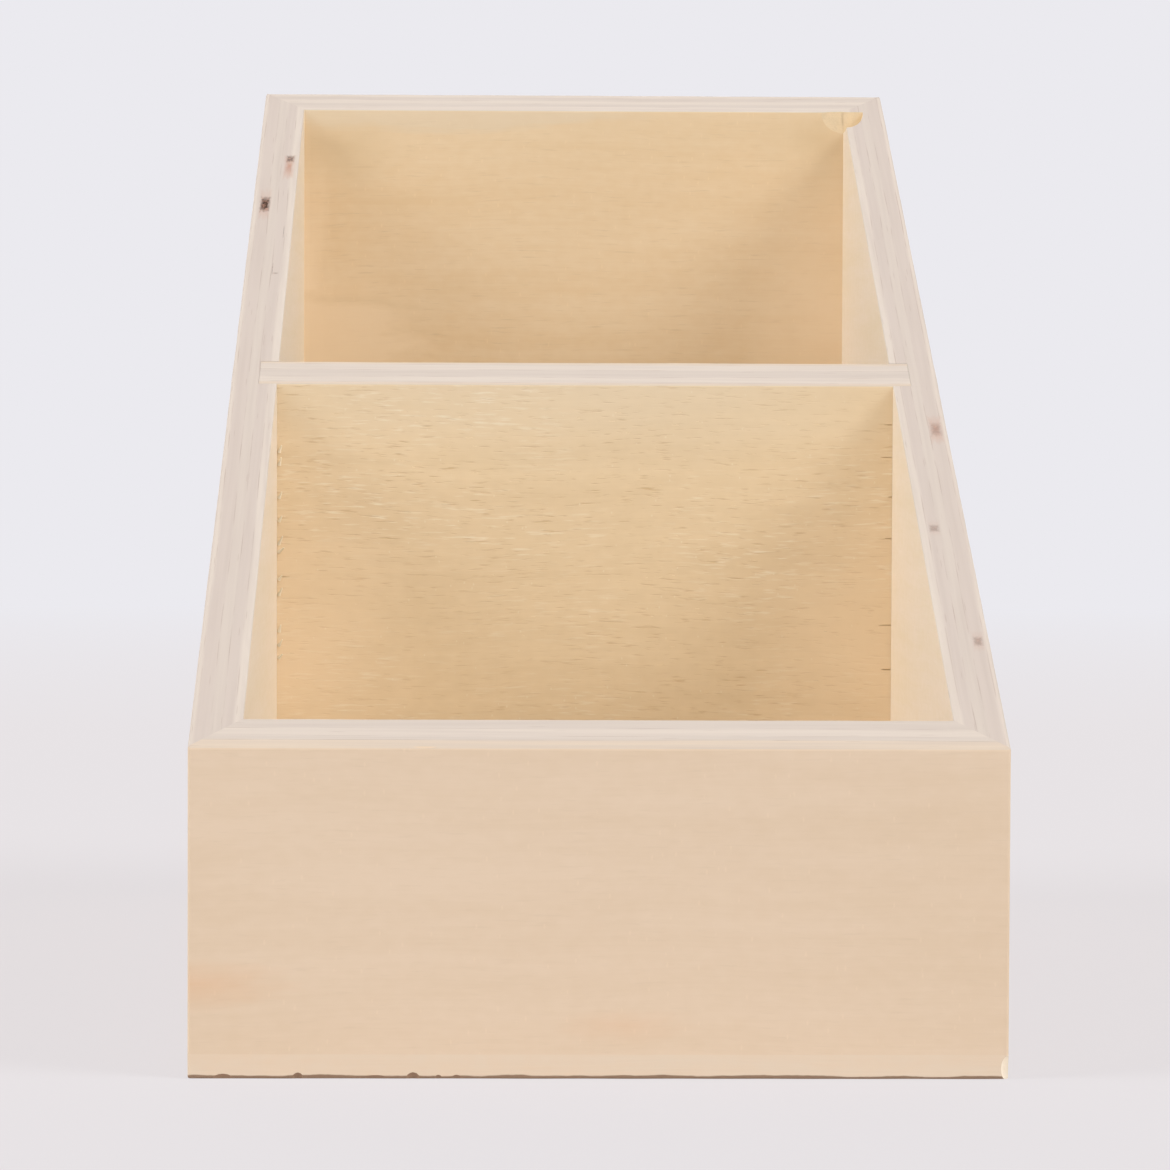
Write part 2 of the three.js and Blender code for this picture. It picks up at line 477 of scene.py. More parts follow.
def along_grain(tree, grain, figure, upright=True):
    """Object coordinates in units of a figure's run along the grain and of its width over it. The grain
    wanders by up to WANDER. A figure that isn't upright runs straight and is the same at every height, as
    the plies are on the slope of the rim."""
    place = add(tree, "TexCoord").outputs["Object"]
    scale = [1 / (figure.width * MM)] * 3
    scale[grain] = 1 / (figure.run * MM)
    if upright:
        bends = {"Vector": place, "Scale": 1 / WANDER_SPACING, "Detail": 1.0}
        bend = add(tree, "TexNoise", bends).outputs["Color"]
        strayed = add(tree, "VectorMath", {0: bend, 1: [WANDER] * 3, 2: place}, operation="MULTIPLY_ADD")
        place = strayed.outputs["Vector"]
    else:
        scale[ALONG_Z] = 0
    return add(tree, "Mapping", {"Vector": place, "Scale": scale}).outputs["Vector"]


def grain_noise(tree, grain, figure, upright=True):
    """Noise from 0 to 1, drawn out along the grain to the size of a figure."""
    place = along_grain(tree, grain, figure, upright)
    return add(tree, "TexNoise", {"Vector": place, "Scale": 1.0, "Detail": figure.detail}).outputs["Fac"]


def marks(tree, grain, figure, upright=True):
    """Mask of the marks in a figure, from where one starts to where it is full."""
    found = grain_noise(tree, grain, figure, upright)
    return add(tree, "MapRange", {0: found, 1: figure.start, 2: figure.full}).outputs["Result"]


def dashes(tree, grain, dash, upright=True):
    """Mask of short lens-shaped marks along the grain, that fade out from half of their reach."""
    place = along_grain(tree, grain, dash, upright)
    cells = add(tree, "TexVoronoi", {"Vector": place, "Scale": 1.0}, feature="F1").outputs["Distance"]
    return add(tree, "MapRange", {0: cells, 1: dash.reach, 2: dash.reach / 2}).outputs["Result"]


def patch(tree, centre, radii, softness, square=False):
    """Mask of one patch with a torn outline, round or square: a centre and three half sizes in mm."""
    place = add(tree, "TexCoord").outputs["Object"]
    middle = [c * MM for c in centre]
    moved = add(tree, "VectorMath", {0: place, 1: middle}, operation="SUBTRACT").outputs["Vector"]
    scale = [1 / (r * MM) for r in radii]
    scaled = add(tree, "VectorMath", {0: moved, 1: scale}, operation="MULTIPLY").outputs["Vector"]
    if square:
        sides = add(tree, "VectorMath", {0: scaled}, operation="ABSOLUTE").outputs["Vector"]
        side = add(tree, "SeparateXYZ", {0: sides}).outputs
        reach = add(tree, "Math", {0: side["X"], 1: side["Y"]}, operation="MAXIMUM").outputs["Value"]
    else:
        reach = add(tree, "VectorMath", {0: scaled}, operation="LENGTH").outputs["Value"]
    torn = add(tree, "TexNoise", {"Vector": scaled, "Scale": TEAR_SCALE, "Detail": 3.0}).outputs["Fac"]
    uneven = add(tree, "Math", {0: torn, 1: TEAR, 2: reach}, operation="MULTIPLY_ADD").outputs["Value"]
    outline = 1 + TEAR / 2
    return add(tree, "MapRange", {0: uneven, 1: outline, 2: outline - softness}).outputs["Result"]


def tinted(tree, wood, mask, share, tint):
    """Lets a share of another colour show on the wood, where a mask is."""
    part = add(tree, "Math", {0: mask, 1: share}, operation="MULTIPLY").outputs["Value"]
    return add(tree, "Mix", {FACTOR: part, FIRST: wood, SECOND: tint}, data_type="RGBA").outputs[MIXED]


def with_stains_and_painted_light(tree, wood, stains_and_painted_light, face, colours):
    """Lays patches over the wood of a face that looks to the front or the back and lies at y = face: real
    stain, painted glow and painted shade, as each patch's table says.
    """
    # Each patch lays its colour: real stain on the front, painted glow and painted shade on the back and the
    # divider.
    for stain in stains_and_painted_light:
        centre = (stain.x, face / MM, stain.z)
        radii = (stain.half_x, STAIN_AND_LIGHT_DEPTH, stain.half_z)
        mask = patch(tree, centre, radii, stain.softness)
        wood = tinted(tree, wood, mask, stain.share, getattr(colours, stain.tint))
    return wood


def grained(tree, grain, light, dark):
    """Plain wood between a light and a dark tone, with clouds, growth lines and fine fibres along the grain
    and a small mottle: its colour and the height of its fibres."""
    figures = {figure: grain_noise(tree, grain, figure) for figure in (CLOUDS, GROWTH_LINES, FIBRES, MOTTLE)}
    total = 0.0
    for figure, found in figures.items():
        inputs = {0: found, 1: figure.share, 2: total}
        total = add(tree, "Math", inputs, operation="MULTIPLY_ADD").outputs["Value"]
    tone = add(tree, "MapRange", {0: total, 1: LIGHT_SUM, 2: DARK_SUM}).outputs["Result"]
    wood = add(tree, "Mix", {FACTOR: tone, FIRST: light, SECOND: dark}, data_type="RGBA").outputs[MIXED]
    return wood, figures[FIBRES]


def finish_wood(tree, shader, wood, height, depth):
    """Gives the shader the colour of the wood and a relief as deep as `depth` mm."""
    tree.links.new(wood, shader.inputs["Base Color"])
    relief = add(tree, "Bump", {"Height": height, "Strength": 0.5, "Distance": depth * MM})
    tree.links.new(relief.outputs["Normal"], shader.inputs["Normal"])


def sanded_veneer(name, grain, colours, side, pore_share, stains_and_painted_light=(), face=0):
    """Poplar veneer, peeled and then sanded smooth: pale and even, with faint straight fibres, soft clouds
    of warmer wood, short pores, single raised fibres, and next to no gloss. Its colours are those of one
    side."""
    material, tree, shader = start_material(name)
    light = getattr(colours, side)
    dark = getattr(colours, side + "_dark")
    wood, fibres = grained(tree, grain, light, dark)
    wood = tinted(tree, wood, marks(tree, grain, PORES), pore_share, toned(dark, SHADE))
    raised = dashes(tree, ALONG_Z, RAISED_FIBRES)
    wood = tinted(tree, wood, raised, RAISED_FIBRES.share, toned(light, GLINT))
    # On the inside of the back these patches are painted glow and painted shade.
    wood = with_stains_and_painted_light(tree, wood, stains_and_painted_light, face, colours)
    finish_wood(tree, shader, wood, fibres, depth=0.02)
    return material


def ply_bands(tree, across, grain, outer_face, plies, colours):
    """Bands of plies from one face of the sheet to the other, with broken lines of glue between them."""
    place = add(tree, "TexCoord").outputs["Object"]
    along = add(tree, "SeparateXYZ", {0: place}).outputs[across]
    distance = add(tree, "Math", {0: along}, operation="ABSOLUTE").outputs["Value"]
    waver = grain_noise(tree, grain, PLY_WAVES, upright=False)
    places = {0: waver, 3: outer_face - PLY_WAVER, 4: outer_face + PLY_WAVER}
    face = add(tree, "MapRange", places).outputs["Result"]
    depth = add(tree, "Math", {0: face, 1: distance}, operation="SUBTRACT").outputs["Value"]
    shown = marks(tree, grain, GLUE_BREAKS, upright=False)
    wood = getattr(colours, plies[0][1])
    for start, name in plies[1:]:
        top = start * MM
        tint = getattr(colours, name)
        inside = add(tree, "MapRange", {0: depth, 1: top - PLY_BLUR, 2: top + PLY_BLUR}).outputs["Result"]
        wood = add(tree, "Mix", {FACTOR: inside, FIRST: wood, SECOND: tint}, data_type="RGBA").outputs[MIXED]
        line = add(tree, "Math", {0: depth, 1: top, 2: GLUE_HALF_WIDTH}, operation="COMPARE").outputs["Value"]
        seen = add(tree, "Math", {0: line, 1: shown}, operation="MULTIPLY").outputs["Value"]
        wood = tinted(tree, wood, seen, GLUE_BREAKS.share, colours.glue)
    return wood


def knotted(tree, wood, knots, colours):
    """Puts knots that the saw went through in a cut edge: mottled bark in a reddish ring."""
    place = add(tree, "TexCoord").outputs["Object"]
    grit = {"Vector": place, "Scale": 1 / (BARK.run * MM), "Detail": BARK.detail}
    bark = add(tree, "TexNoise", grit).outputs["Fac"]
    mottled = add(tree, "MapRange", {0: bark, 1: BARK.start, 2: BARK.full}).outputs["Result"]
    tones = {FACTOR: mottled, FIRST: colours.knot, SECOND: colours.knot_ring}
    dark = add(tree, "Mix", tones, data_type="RGBA").outputs[MIXED]
    for knot in knots:
        across, along, height = knot.radii
        wide = (across * RING_ACROSS, along * RING_ALONG, height)
        ring = patch(tree, knot.centre, wide, softness=1.0, square=True)
        wood = tinted(tree, wood, ring, knot.ring, colours.knot_ring)
        core = patch(tree, knot.centre, knot.radii, softness=0.6, square=True)
        wood = tinted(tree, wood, core, knot.share, dark)
    return wood


def ply_edge(name, across, grain, outer_face, plies, colours, knots=()):
    """Sawn and sanded edge of poplar plywood: bands of plies, broken lines of glue, soft grey streaks,
    short slits, and knots."""
    material, tree, shader = start_material(name)
    wood = ply_bands(tree, across, grain, outer_face, plies, colours)
    streaks = grain_noise(tree, grain, EDGE_STREAKS, upright=False)
    grey = add(tree, "MapRange", {0: streaks, 1: EDGE_STREAKS.start, 2: EDGE_STREAKS.full}).outputs["Result"]
    wood = tinted(tree, wood, grey, EDGE_STREAKS.share, colours.edge_streak)
    slits = dashes(tree, grain, EDGE_SLITS, upright=False)
    wood = tinted(tree, wood, slits, EDGE_SLITS.share, colours.glue)
    if knots:
        wood = knotted(tree, wood, knots, colours)
    finish_wood(tree, shader, wood, streaks, depth=0.04)
    return material


def base_edge(name, grain, colours):
    """Sawn edge of thin plywood, too fine to show its plies, with a painted dark line of shade along its
    foot, where it meets the floor.
    """
    material, tree, shader = start_material(name)
    wood, fibres = grained(tree, grain, colours.base_edge, colours.outside)
    place = add(tree, "TexCoord").outputs["Object"]
    height = add(tree, "SeparateXYZ", {0: place}).outputs["Z"]
    # The ragged dark line along the foot is painted shade where the base meets the floor.
    ragged = marks(tree, grain, FOOT_SHADE)
    top = add(tree, "MapRange", {0: ragged, 3: FOOT_SHADE_LOW, 4: FOOT_SHADE_HIGH}).outputs["Result"]
    under = add(tree, "Math", {0: top, 1: height}, operation="SUBTRACT").outputs["Value"]
    foot_shade_mask = add(tree, "MapRange", {0: under, 1: -FOOT_SHADE_BLUR, 2: FOOT_SHADE_BLUR}).outputs["Result"]
    wood = tinted(tree, wood, foot_shade_mask, FOOT_SHADE.share, colours.foot)
    finish_wood(tree, shader, wood, fibres, depth=0.04)
    return material


def peeled_veneer(name, grain, colours, stains_and_painted_light, face):
    """Rotary-cut poplar veneer, left rough from the lathe: short dark checks along the grain where the
    knife opened the wood, and painted highlights: light streaks beside them in the rougher patches, where
    lifted lips catch the light, and light flecks where torn fibres stand up and catch the light."""
    material, tree, shader = start_material(name)
    wood, fibres = grained(tree, grain, colours.divider, colours.divider_dark)
    calm = patch(tree, *CALM_PATCH)
    marked = add(tree, "MapRange", {0: calm, 3: 1.0, 4: CALM_SHARE}).outputs["Result"]
    opened = marks(tree, grain, PEELING_CHECKS)
    checks = add(tree, "Math", {0: opened, 1: marked}, operation="MULTIPLY").outputs["Value"]
    patches = marks(tree, grain, ROUGH_PATCHES)
    rough = add(tree, "Math", {0: patches, 1: marked}, operation="MULTIPLY").outputs["Value"]
    # Painted highlights: light streaks where lips in the rough patches catch the light.
    lifted = marks(tree, grain, PEELING_LIPS)
    lips = add(tree, "Math", {0: lifted, 1: rough}, operation="MULTIPLY").outputs["Value"]
    wood = tinted(tree, wood, lips, PEELING_LIPS.share, colours.fleck)
    wood = tinted(tree, wood, checks, PEELING_CHECKS.share, colours.check)
    wood = tinted(tree, wood, dashes(tree, ALONG_Z, TORN_FLECKS), TORN_FLECKS.share, colours.fleck)
    # The divider's patches are painted light: a paler glow low in its corners and painted shade along its
    # top.
    wood = with_stains_and_painted_light(tree, wood, stains_and_painted_light, face, colours)
    faint = add(tree, "Math", {0: fibres, 1: FIBRE_RELIEF}, operation="MULTIPLY").outputs["Value"]
    height = add(tree, "Math", {0: faint, 1: checks}, operation="SUBTRACT").outputs["Value"]
    finish_wood(tree, shader, wood, height, depth=0.05)
    return material


def torn_wood(name, grain, tint):
    """Poplar that split, chipped, frayed or was gouged: open fibres with shade between them, and rougher
    than a sanded face."""
    material, tree, shader = start_material(name)
    wood, fibres = grained(tree, grain, tint, toned(tint, SHADE))
    finish_wood(tree, shader, wood, fibres, depth=0.1)
    return material


# Shapes


def rim_plane(sizes):
    """A point on the plane of the rim, and the plane's normal."""
    slope = (sizes.back_height - sizes.front_height) / BOX_SIZE.y
    middle = Vector((0, 0, (sizes.front_height + sizes.back_height) / 2))
    return middle, Vector((0, -slope, 1)).normalized()


def everything(mesh):
    """All the geometry of a mesh, for an operator that cuts it."""
    return mesh.verts[:] + mesh.edges[:] + mesh.faces[:]


def plan_of(box):
    """The four corners of a box in plan."""
    low, high = box
    return [(low.x, low.y), (high.x, low.y), (high.x, high.y), (low.x, high.y)]


def raise_plan(plan, foot, top):
    """A closed mesh: a plan drawn at its foot and extruded straight up."""
    mesh = bmesh.new()
    ground = mesh.faces.new([mesh.verts.new((x, y, foot)) for x, y in plan])
    drawn = bmesh.ops.extrude_face_region(mesh, geom=[ground])["geom"]
    risen = [item for item in drawn if isinstance(item, bmesh.types.BMVert)]
    bmesh.ops.translate(mesh, verts=risen, vec=(0, 0, top - foot))
    bmesh.ops.recalc_face_normals(mesh, faces=mesh.faces[:])
    return mesh


def saw_off(mesh, point, normal):
    """Cuts a closed mesh along a plane, takes away what lies past it and closes the cut."""
    cut = bmesh.ops.bisect_plane(
        mesh, geom=everything(mesh), dist=CUT_TOLERANCE, plane_co=point, plane_no=normal, clear_outer=True
    )["geom_cut"]
    border = [item for item in cut if isinstance(item, bmesh.types.BMEdge)]
    bmesh.ops.contextual_create(mesh, geom=border)
    bmesh.ops.recalc_face_normals(mesh, faces=mesh.faces[:])


def rim_edges(mesh, normal, facing, least):
    """The edges between the top of a sheet and its side, whose normal has at least a share along a
    direction."""
    mesh.normal_update()
    edges = []
    for edge in mesh.edges:
        normals = [face.normal for face in edge.link_faces]
        on_top = any(n.dot(normal) > SQUARE for n in normals)
        on_side = any(n.dot(facing) > least for n in normals)
        if on_top and on_side:
            edges.append(edge)
    return edges


def round_over(mesh, edges, radius):
    """Rounds edges as sandpaper does."""
    bmesh.ops.bevel(
        mesh, geom=edges, offset=radius, offset_type="OFFSET", affect="EDGES", segments=3, profile=0.5,
        material=-1, clamp_overlap=True,
    )


def slice_along(mesh, axis, spacing):
    """Gives the long faces and edges points at a steady spacing along an axis."""
    places = [vert.co[axis] for vert in mesh.verts]
    low, high = min(places), max(places)
    count = round((high - low) / spacing)
    normal = Vector((0, 0, 0))
    normal[axis] = 1
    for step in range(1, count):
        point = normal * (low + (high - low) * step / count)
        bmesh.ops.bisect_plane(
            mesh, geom=everything(mesh), dist=CUT_TOLERANCE, plane_co=point, plane_no=normal
        )


def is_fitted(vert):
    """True for a point on a mitre, on the seat of the walls on the base, or in the housing of the
    divider."""
    inner_face = HALF_WIDTH - WALL_THICKNESS
    if abs(vert.co.y) < GROOVE_SIDE + NEAR and abs(vert.co.x) > inner_face + 10 * NEAR:
        return True
    for face in vert.link_faces:
        x, y, z = (abs(share) for share in face.normal)
        mitre = abs(x - y) < NEARLY and z < NEARLY
        seat = z > 1 - NEARLY and abs(vert.co.z - BASE_BOX[1].z) < NEAR
        if mitre or seat:
            return True
    return False


def sand_unevenly(mesh, depth):
    """Moves the points in by up to a small depth, so that no edge is dead straight. Fitted faces stay
    flat."""
    mesh.normal_update()
    moved = []
    for vert in mesh.verts:
        if not is_fitted(vert):
            share = (1 + noise.noise(vert.co / SANDING_WAVE)) / 2
            moved.append((vert, vert.normal * -(depth * share)))
    for vert, move in moved:
        vert.co += move
    mesh.normal_update()


def place_piece(mesh, name, materials):
    """An object of the finished mesh, linked to the scene, with its materials."""
    data = bpy.data.meshes.new(name)
    mesh.to_mesh(data)
    mesh.free()
    for material in materials:
        data.materials.append(material)
    piece = bpy.data.objects.new(name, data)
    bpy.context.scene.collection.objects.link(piece)
    return piece


def gouge_mesh(gouges, detail):
    """Closed meshes of gouges: rounded lumps with a centre and three half sizes in mm."""
    mesh = bmesh.new()
    for centre, radii in gouges:
        shape = Matrix.Diagonal([*(r * MM for r in radii), 1])
        place = Matrix.Translation([c * MM for c in centre])
        bmesh.ops.create_icosphere(mesh, subdivisions=detail, radius=1, matrix=place @ shape)
    return mesh


def fray_mesh(face):
    """Slivers of wood that stand out from the left edge of a face at y = face, each a thin cone with its
    foot in the wood."""
    mesh = bmesh.new()
    for height, run, tilt in FRAYS:
        lean = Matrix.Rotation(math.radians(tilt), 4, "Y") @ Matrix.Rotation(FRAY_LEAN, 4, "X")
        sunk = Matrix.Translation((0, 0, run * MM / 3))
        place = Matrix.Translation((FRAY_X, face, height * MM)) @ lean @ sunk
        bmesh.ops.create_cone(
            mesh, cap_ends=True, segments=7, radius1=FRAY_FOOT, radius2=FRAY_TIP, depth=run * MM, matrix=place
        )
    return mesh


def combine(piece, tool, slot, operation):
    """Cuts a mesh out of a piece, or adds it, and gives the new faces one of the piece's material slots."""
    for face in tool.faces:
        face.material_index = slot
    helper = place_piece(tool, "tool", ())
    step = piece.modifiers.new("combine", "BOOLEAN")
    step.operation = operation
    step.solver = "EXACT"
    step.object = helper
    whole = piece.data
    result = piece.evaluated_get(bpy.context.evaluated_depsgraph_get())
    piece.data = bpy.data.meshes.new_from_object(result)
    piece.data.name = piece.name
    piece.modifiers.clear()
    bpy.data.meshes.remove(whole)
    spare = helper.data
    bpy.data.objects.remove(helper)
    bpy.data.meshes.remove(spare)


def scattered_checks(sizes, rim_height):
    """Long checks in both faces of the divider, none over another: centres and half sizes in mm."""
    draw = random.Random(sizes.seed)
    low, high = DIVIDER_BOX
    lowest = low.z / MM + CHECK_RIM_MARGIN
    highest = rim_height / MM - CHECK_RIM_MARGIN
    checks = []
    for face in (low.y, high.y):
        placed = []
        while len(placed) < sizes.checks:
            half_run = CHECK_SHORTEST + CHECK_STRETCH * draw.random() ** 2
            reach = high.x / MM - CHECK_END_MARGIN - half_run
            x = draw.uniform(-reach, reach)
            z = draw.uniform(lowest, highest)
            clear = half_run + CHECK_END_GAP
            if all(abs(z - c[2]) > CHECK_SIDE_GAP or abs(x - c[0]) > clear + r[0] for c, r in placed):
                depth = draw.uniform(*CHECK_DEPTHS)
                half_height = draw.uniform(*CHECK_HALF_HEIGHTS)
                placed.append(((x, face / MM, z), (half_run, depth, half_height)))
        checks += placed
    return checks


def wall_plan(half, arris, groove):
    """Plan of a wall with its outer face on y = 0, mitred at both ends, with half of a rounded corner of
    the box at each tip. A side wall also has the groove for the divider."""
    angles = [-math.pi / 2 + math.pi / 4 * step / ARC_STEPS for step in range(ARC_STEPS + 1)]
    arc = [(half - arris + arris * math.cos(a), arris + arris * math.sin(a)) for a in angles]
    notch = []
    if groove:
        side, floor = groove
        notch = [(side, WALL_THICKNESS), (side, floor)]
    right = arc + [(half - WALL_THICKNESS, WALL_THICKNESS)] + notch
    return right + [(-x, y) for x, y in reversed(right)]


def wall_mesh(sizes, half, centre, turn, groove):
    """A mitred wall whose top lies in the plane of the rim. Its faces have three materials: the outside,
    the cut edges and the inside."""
    plan = wall_plan(half, sizes.arris, groove)
    mesh = raise_plan(plan, BASE_BOX[1].z, 2 * sizes.back_height)
    place = Matrix.Translation((*centre, 0)) @ Matrix.Rotation(turn, 4, "Z")
    bmesh.ops.transform(mesh, matrix=place, verts=mesh.verts[:])
    point, normal = rim_plane(sizes)
    saw_off(mesh, point, normal)
    outward = place.to_3x3() @ Vector((0, -1, 0))
    for facing, radius in ((outward, sizes.arris), (-outward, sizes.inner_arris)):
        round_over(mesh, rim_edges(mesh, normal, facing, ROUNDED), radius)
    slice_along(mesh, ALONG_Y if groove else ALONG_X, sizes.slice)
    sand_unevenly(mesh, sizes.unevenness)
    for face in mesh.faces:
        facing = face.normal.dot(outward)
        if facing > OUTWARD and face.normal.z < UPWARD:
            face.material_index = OUTSIDE
        else:
            face.material_index = INSIDE if facing < -FLAT else EDGE
    return mesh


# Operators


class STORAGEBOX_OT_walls(bpy.types.Operator):
    """Makes the four mitred walls"""

    bl_idname = "storage_box.walls"
    bl_label = "Walls"

    def execute(self, context):
        sizes = context.scene.storage_box_sizes
        front, back, sides = self.woods(context.scene.storage_box_colours)
        groove = (GROOVE_SIDE, HALF_WIDTH - GROOVE_FLOOR)
        walls = [
            ("front_panel", "front_wall", front, HALF_WIDTH, (0, -HALF_LENGTH), 0, None),
            ("right_panel", "right_wall", sides, HALF_LENGTH, (HALF_WIDTH, 0), math.pi / 2, groove),
            ("back_panel", "back_wall", back, HALF_WIDTH, (0, HALF_LENGTH), math.pi, None),
            ("left_panel", "left_wall", sides, HALF_LENGTH, (-HALF_WIDTH, 0), -math.pi / 2, groove),
        ]
        for name, node, woods, half, centre, turn, cut in walls:
            mesh = wall_mesh(sizes, half, centre, turn, cut)
            piece = place_piece(mesh, name, woods)
            if name == "front_panel":
                combine(piece, gouge_mesh([FRONT_DENT], detail=3), OUTSIDE, "DIFFERENCE")
            if name == "back_panel":
                combine(piece, gouge_mesh([CORNER_DISH], detail=6), TORN, "DIFFERENCE")
            if name == "right_panel":
                scoop = gouge_mesh([CORNER_SCOOP], detail=4)
                saw_off(scoop, Vector((0, BACK_FACE, 0)), Vector((0, 1, 0)))
                combine(piece, scoop, TORN, "DIFFERENCE")
            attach(piece, "box")
            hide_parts(node)
        return {"FINISHED"}

    def woods(self, colours):
        """Materials of the front, the back and the sides: outside, cut edges, inside and torn wood."""
        torn = torn_wood("gouged_poplar", ALONG_Y, colours.divider)
        ends_outside = sanded_veneer(
            "sanded_poplar_ends_outside", ALONG_X, colours, "outside", pore_share=0.25,
            stains_and_painted_light=FRONT_STAINS, face=-HALF_LENGTH,
        )
        # The inside of the ends carries the painted glow and painted shade of the back.
        ends_inside = sanded_veneer(
            "sanded_poplar_ends_inside", ALONG_X, colours, "inside_ends", pore_share=0.6,
            stains_and_painted_light=BACK_STAINS_AND_PAINTED_LIGHT, face=BACK_FACE,
        )
        front_edge = ply_edge("sawn_ply_front", ALONG_Y, ALONG_X, HALF_LENGTH, FRONT_PLIES, colours)
        back_edge = ply_edge("sawn_ply_back", ALONG_Y, ALONG_X, HALF_LENGTH, BACK_PLIES, colours)
        sides = (
            sanded_veneer("sanded_poplar_sides_outside", ALONG_Y, colours, "outside", pore_share=0.25),
            ply_edge("sawn_ply_sides", ALONG_X, ALONG_Y, HALF_WIDTH, SIDE_PLIES, colours, SIDE_KNOTS),
            sanded_veneer("sanded_poplar_sides_inside", ALONG_Y, colours, "inside", pore_share=0.2),
            torn,
        )
        front = (ends_outside, front_edge, ends_inside)
        back = (ends_outside, back_edge, ends_inside, torn)
        return front, back, sides


class STORAGEBOX_OT_base(bpy.types.Operator):
    """Makes the base panel under the walls"""

    bl_idname = "storage_box.base"
    bl_label = "Base"

    def execute(self, context):
        sizes = context.scene.storage_box_sizes
        colours = context.scene.storage_box_colours
        low, high = BASE_BOX
        mesh = raise_plan(plan_of(BASE_BOX), low.z, high.z)
        edges = [e for e in mesh.edges if min(v.co.z for v in e.verts) < (low.z + high.z) / 2]
        round_over(mesh, edges, sizes.foot_arris)
        slice_along(mesh, ALONG_X, sizes.slice)
        slice_along(mesh, ALONG_Y, sizes.slice)
        sand_unevenly(mesh, sizes.unevenness)
        for face in mesh.faces:
            if face.normal.z > FLAT:
                face.material_index = INSIDE
            else:
                face.material_index = OUTSIDE if face.normal.z < -FLAT else EDGE
        woods = (
            sanded_veneer("sanded_poplar_base_under", ALONG_Y, colours, "outside", pore_share=0.4),
            base_edge("sawn_thin_ply_base", ALONG_X, colours),
            sanded_veneer("sanded_poplar_base_inside", ALONG_Y, colours, "inside", pore_share=0.4),
            torn_wood("chipped_poplar", ALONG_X, colours.chip),
        )
        piece = place_piece(mesh, "base_sheet", woods)
        combine(piece, gouge_mesh(FOOT_CHIPS, detail=2), TORN, "DIFFERENCE")
        combine(piece, gouge_mesh([CORNER_NOTCH], detail=3), INSIDE, "DIFFERENCE")
        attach(piece, "box")
        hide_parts("base_panel")
        return {"FINISHED"}


class STORAGEBOX_OT_divider(bpy.types.Operator):
    """Makes the divider that drops into the grooves"""

    bl_idname = "storage_box.divider"
    bl_label = "Divider"

    def execute(self, context):
        sizes = context.scene.storage_box_sizes
        low, high = DIVIDER_BOX
        mesh = raise_plan(plan_of(DIVIDER_BOX), low.z, 2 * high.z)
        point, normal = rim_plane(sizes)
        saw_off(mesh, point, normal)
        towards_back = Vector((0, 1, 0))
        edges = rim_edges(mesh, normal, towards_back, FLAT) + rim_edges(mesh, normal, -towards_back, FLAT)
        round_over(mesh, edges, sizes.inner_arris)
        slice_along(mesh, ALONG_X, sizes.slice)
        sand_unevenly(mesh, sizes.unevenness)
        for face in mesh.faces:
            face.material_index = OUTSIDE if abs(face.normal.y) > FLAT else EDGE
        piece = place_piece(mesh, "divider_panel", self.woods(context.scene.storage_box_colours))
        rim_height = point.z + low.y * (sizes.back_height - sizes.front_height) / BOX_SIZE.y
        checks = scattered_checks(sizes, rim_height)
        combine(piece, gouge_mesh(checks, detail=1), TORN, "DIFFERENCE")
        combine(piece, gouge_mesh(EDGE_SPLITS, detail=1), TORN, "DIFFERENCE")
        combine(piece, fray_mesh(low.y), LIFTED, "UNION")
        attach(piece, "divider")
        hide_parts("divider")
        return {"FINISHED"}

    def woods(self, colours):
        """Materials of the divider: both faces, cut edges, the same faces again, split wood and frayed
        fibres."""
        low, high = DIVIDER_BOX
        # The divider's patches are painted glow low in its corners and painted shade along its top.
        peeled = peeled_veneer("peeled_poplar_divider", ALONG_X, colours, DIVIDER_PAINTED_LIGHT, low.y)
        return (
            peeled,
            ply_edge("sawn_ply_divider", ALONG_Y, ALONG_X, high.y, DIVIDER_PLIES, colours),
            peeled,
            torn_wood("split_poplar", ALONG_X, colours.divider),
            torn_wood("frayed_poplar", ALONG_Y, colours.fleck),
        )


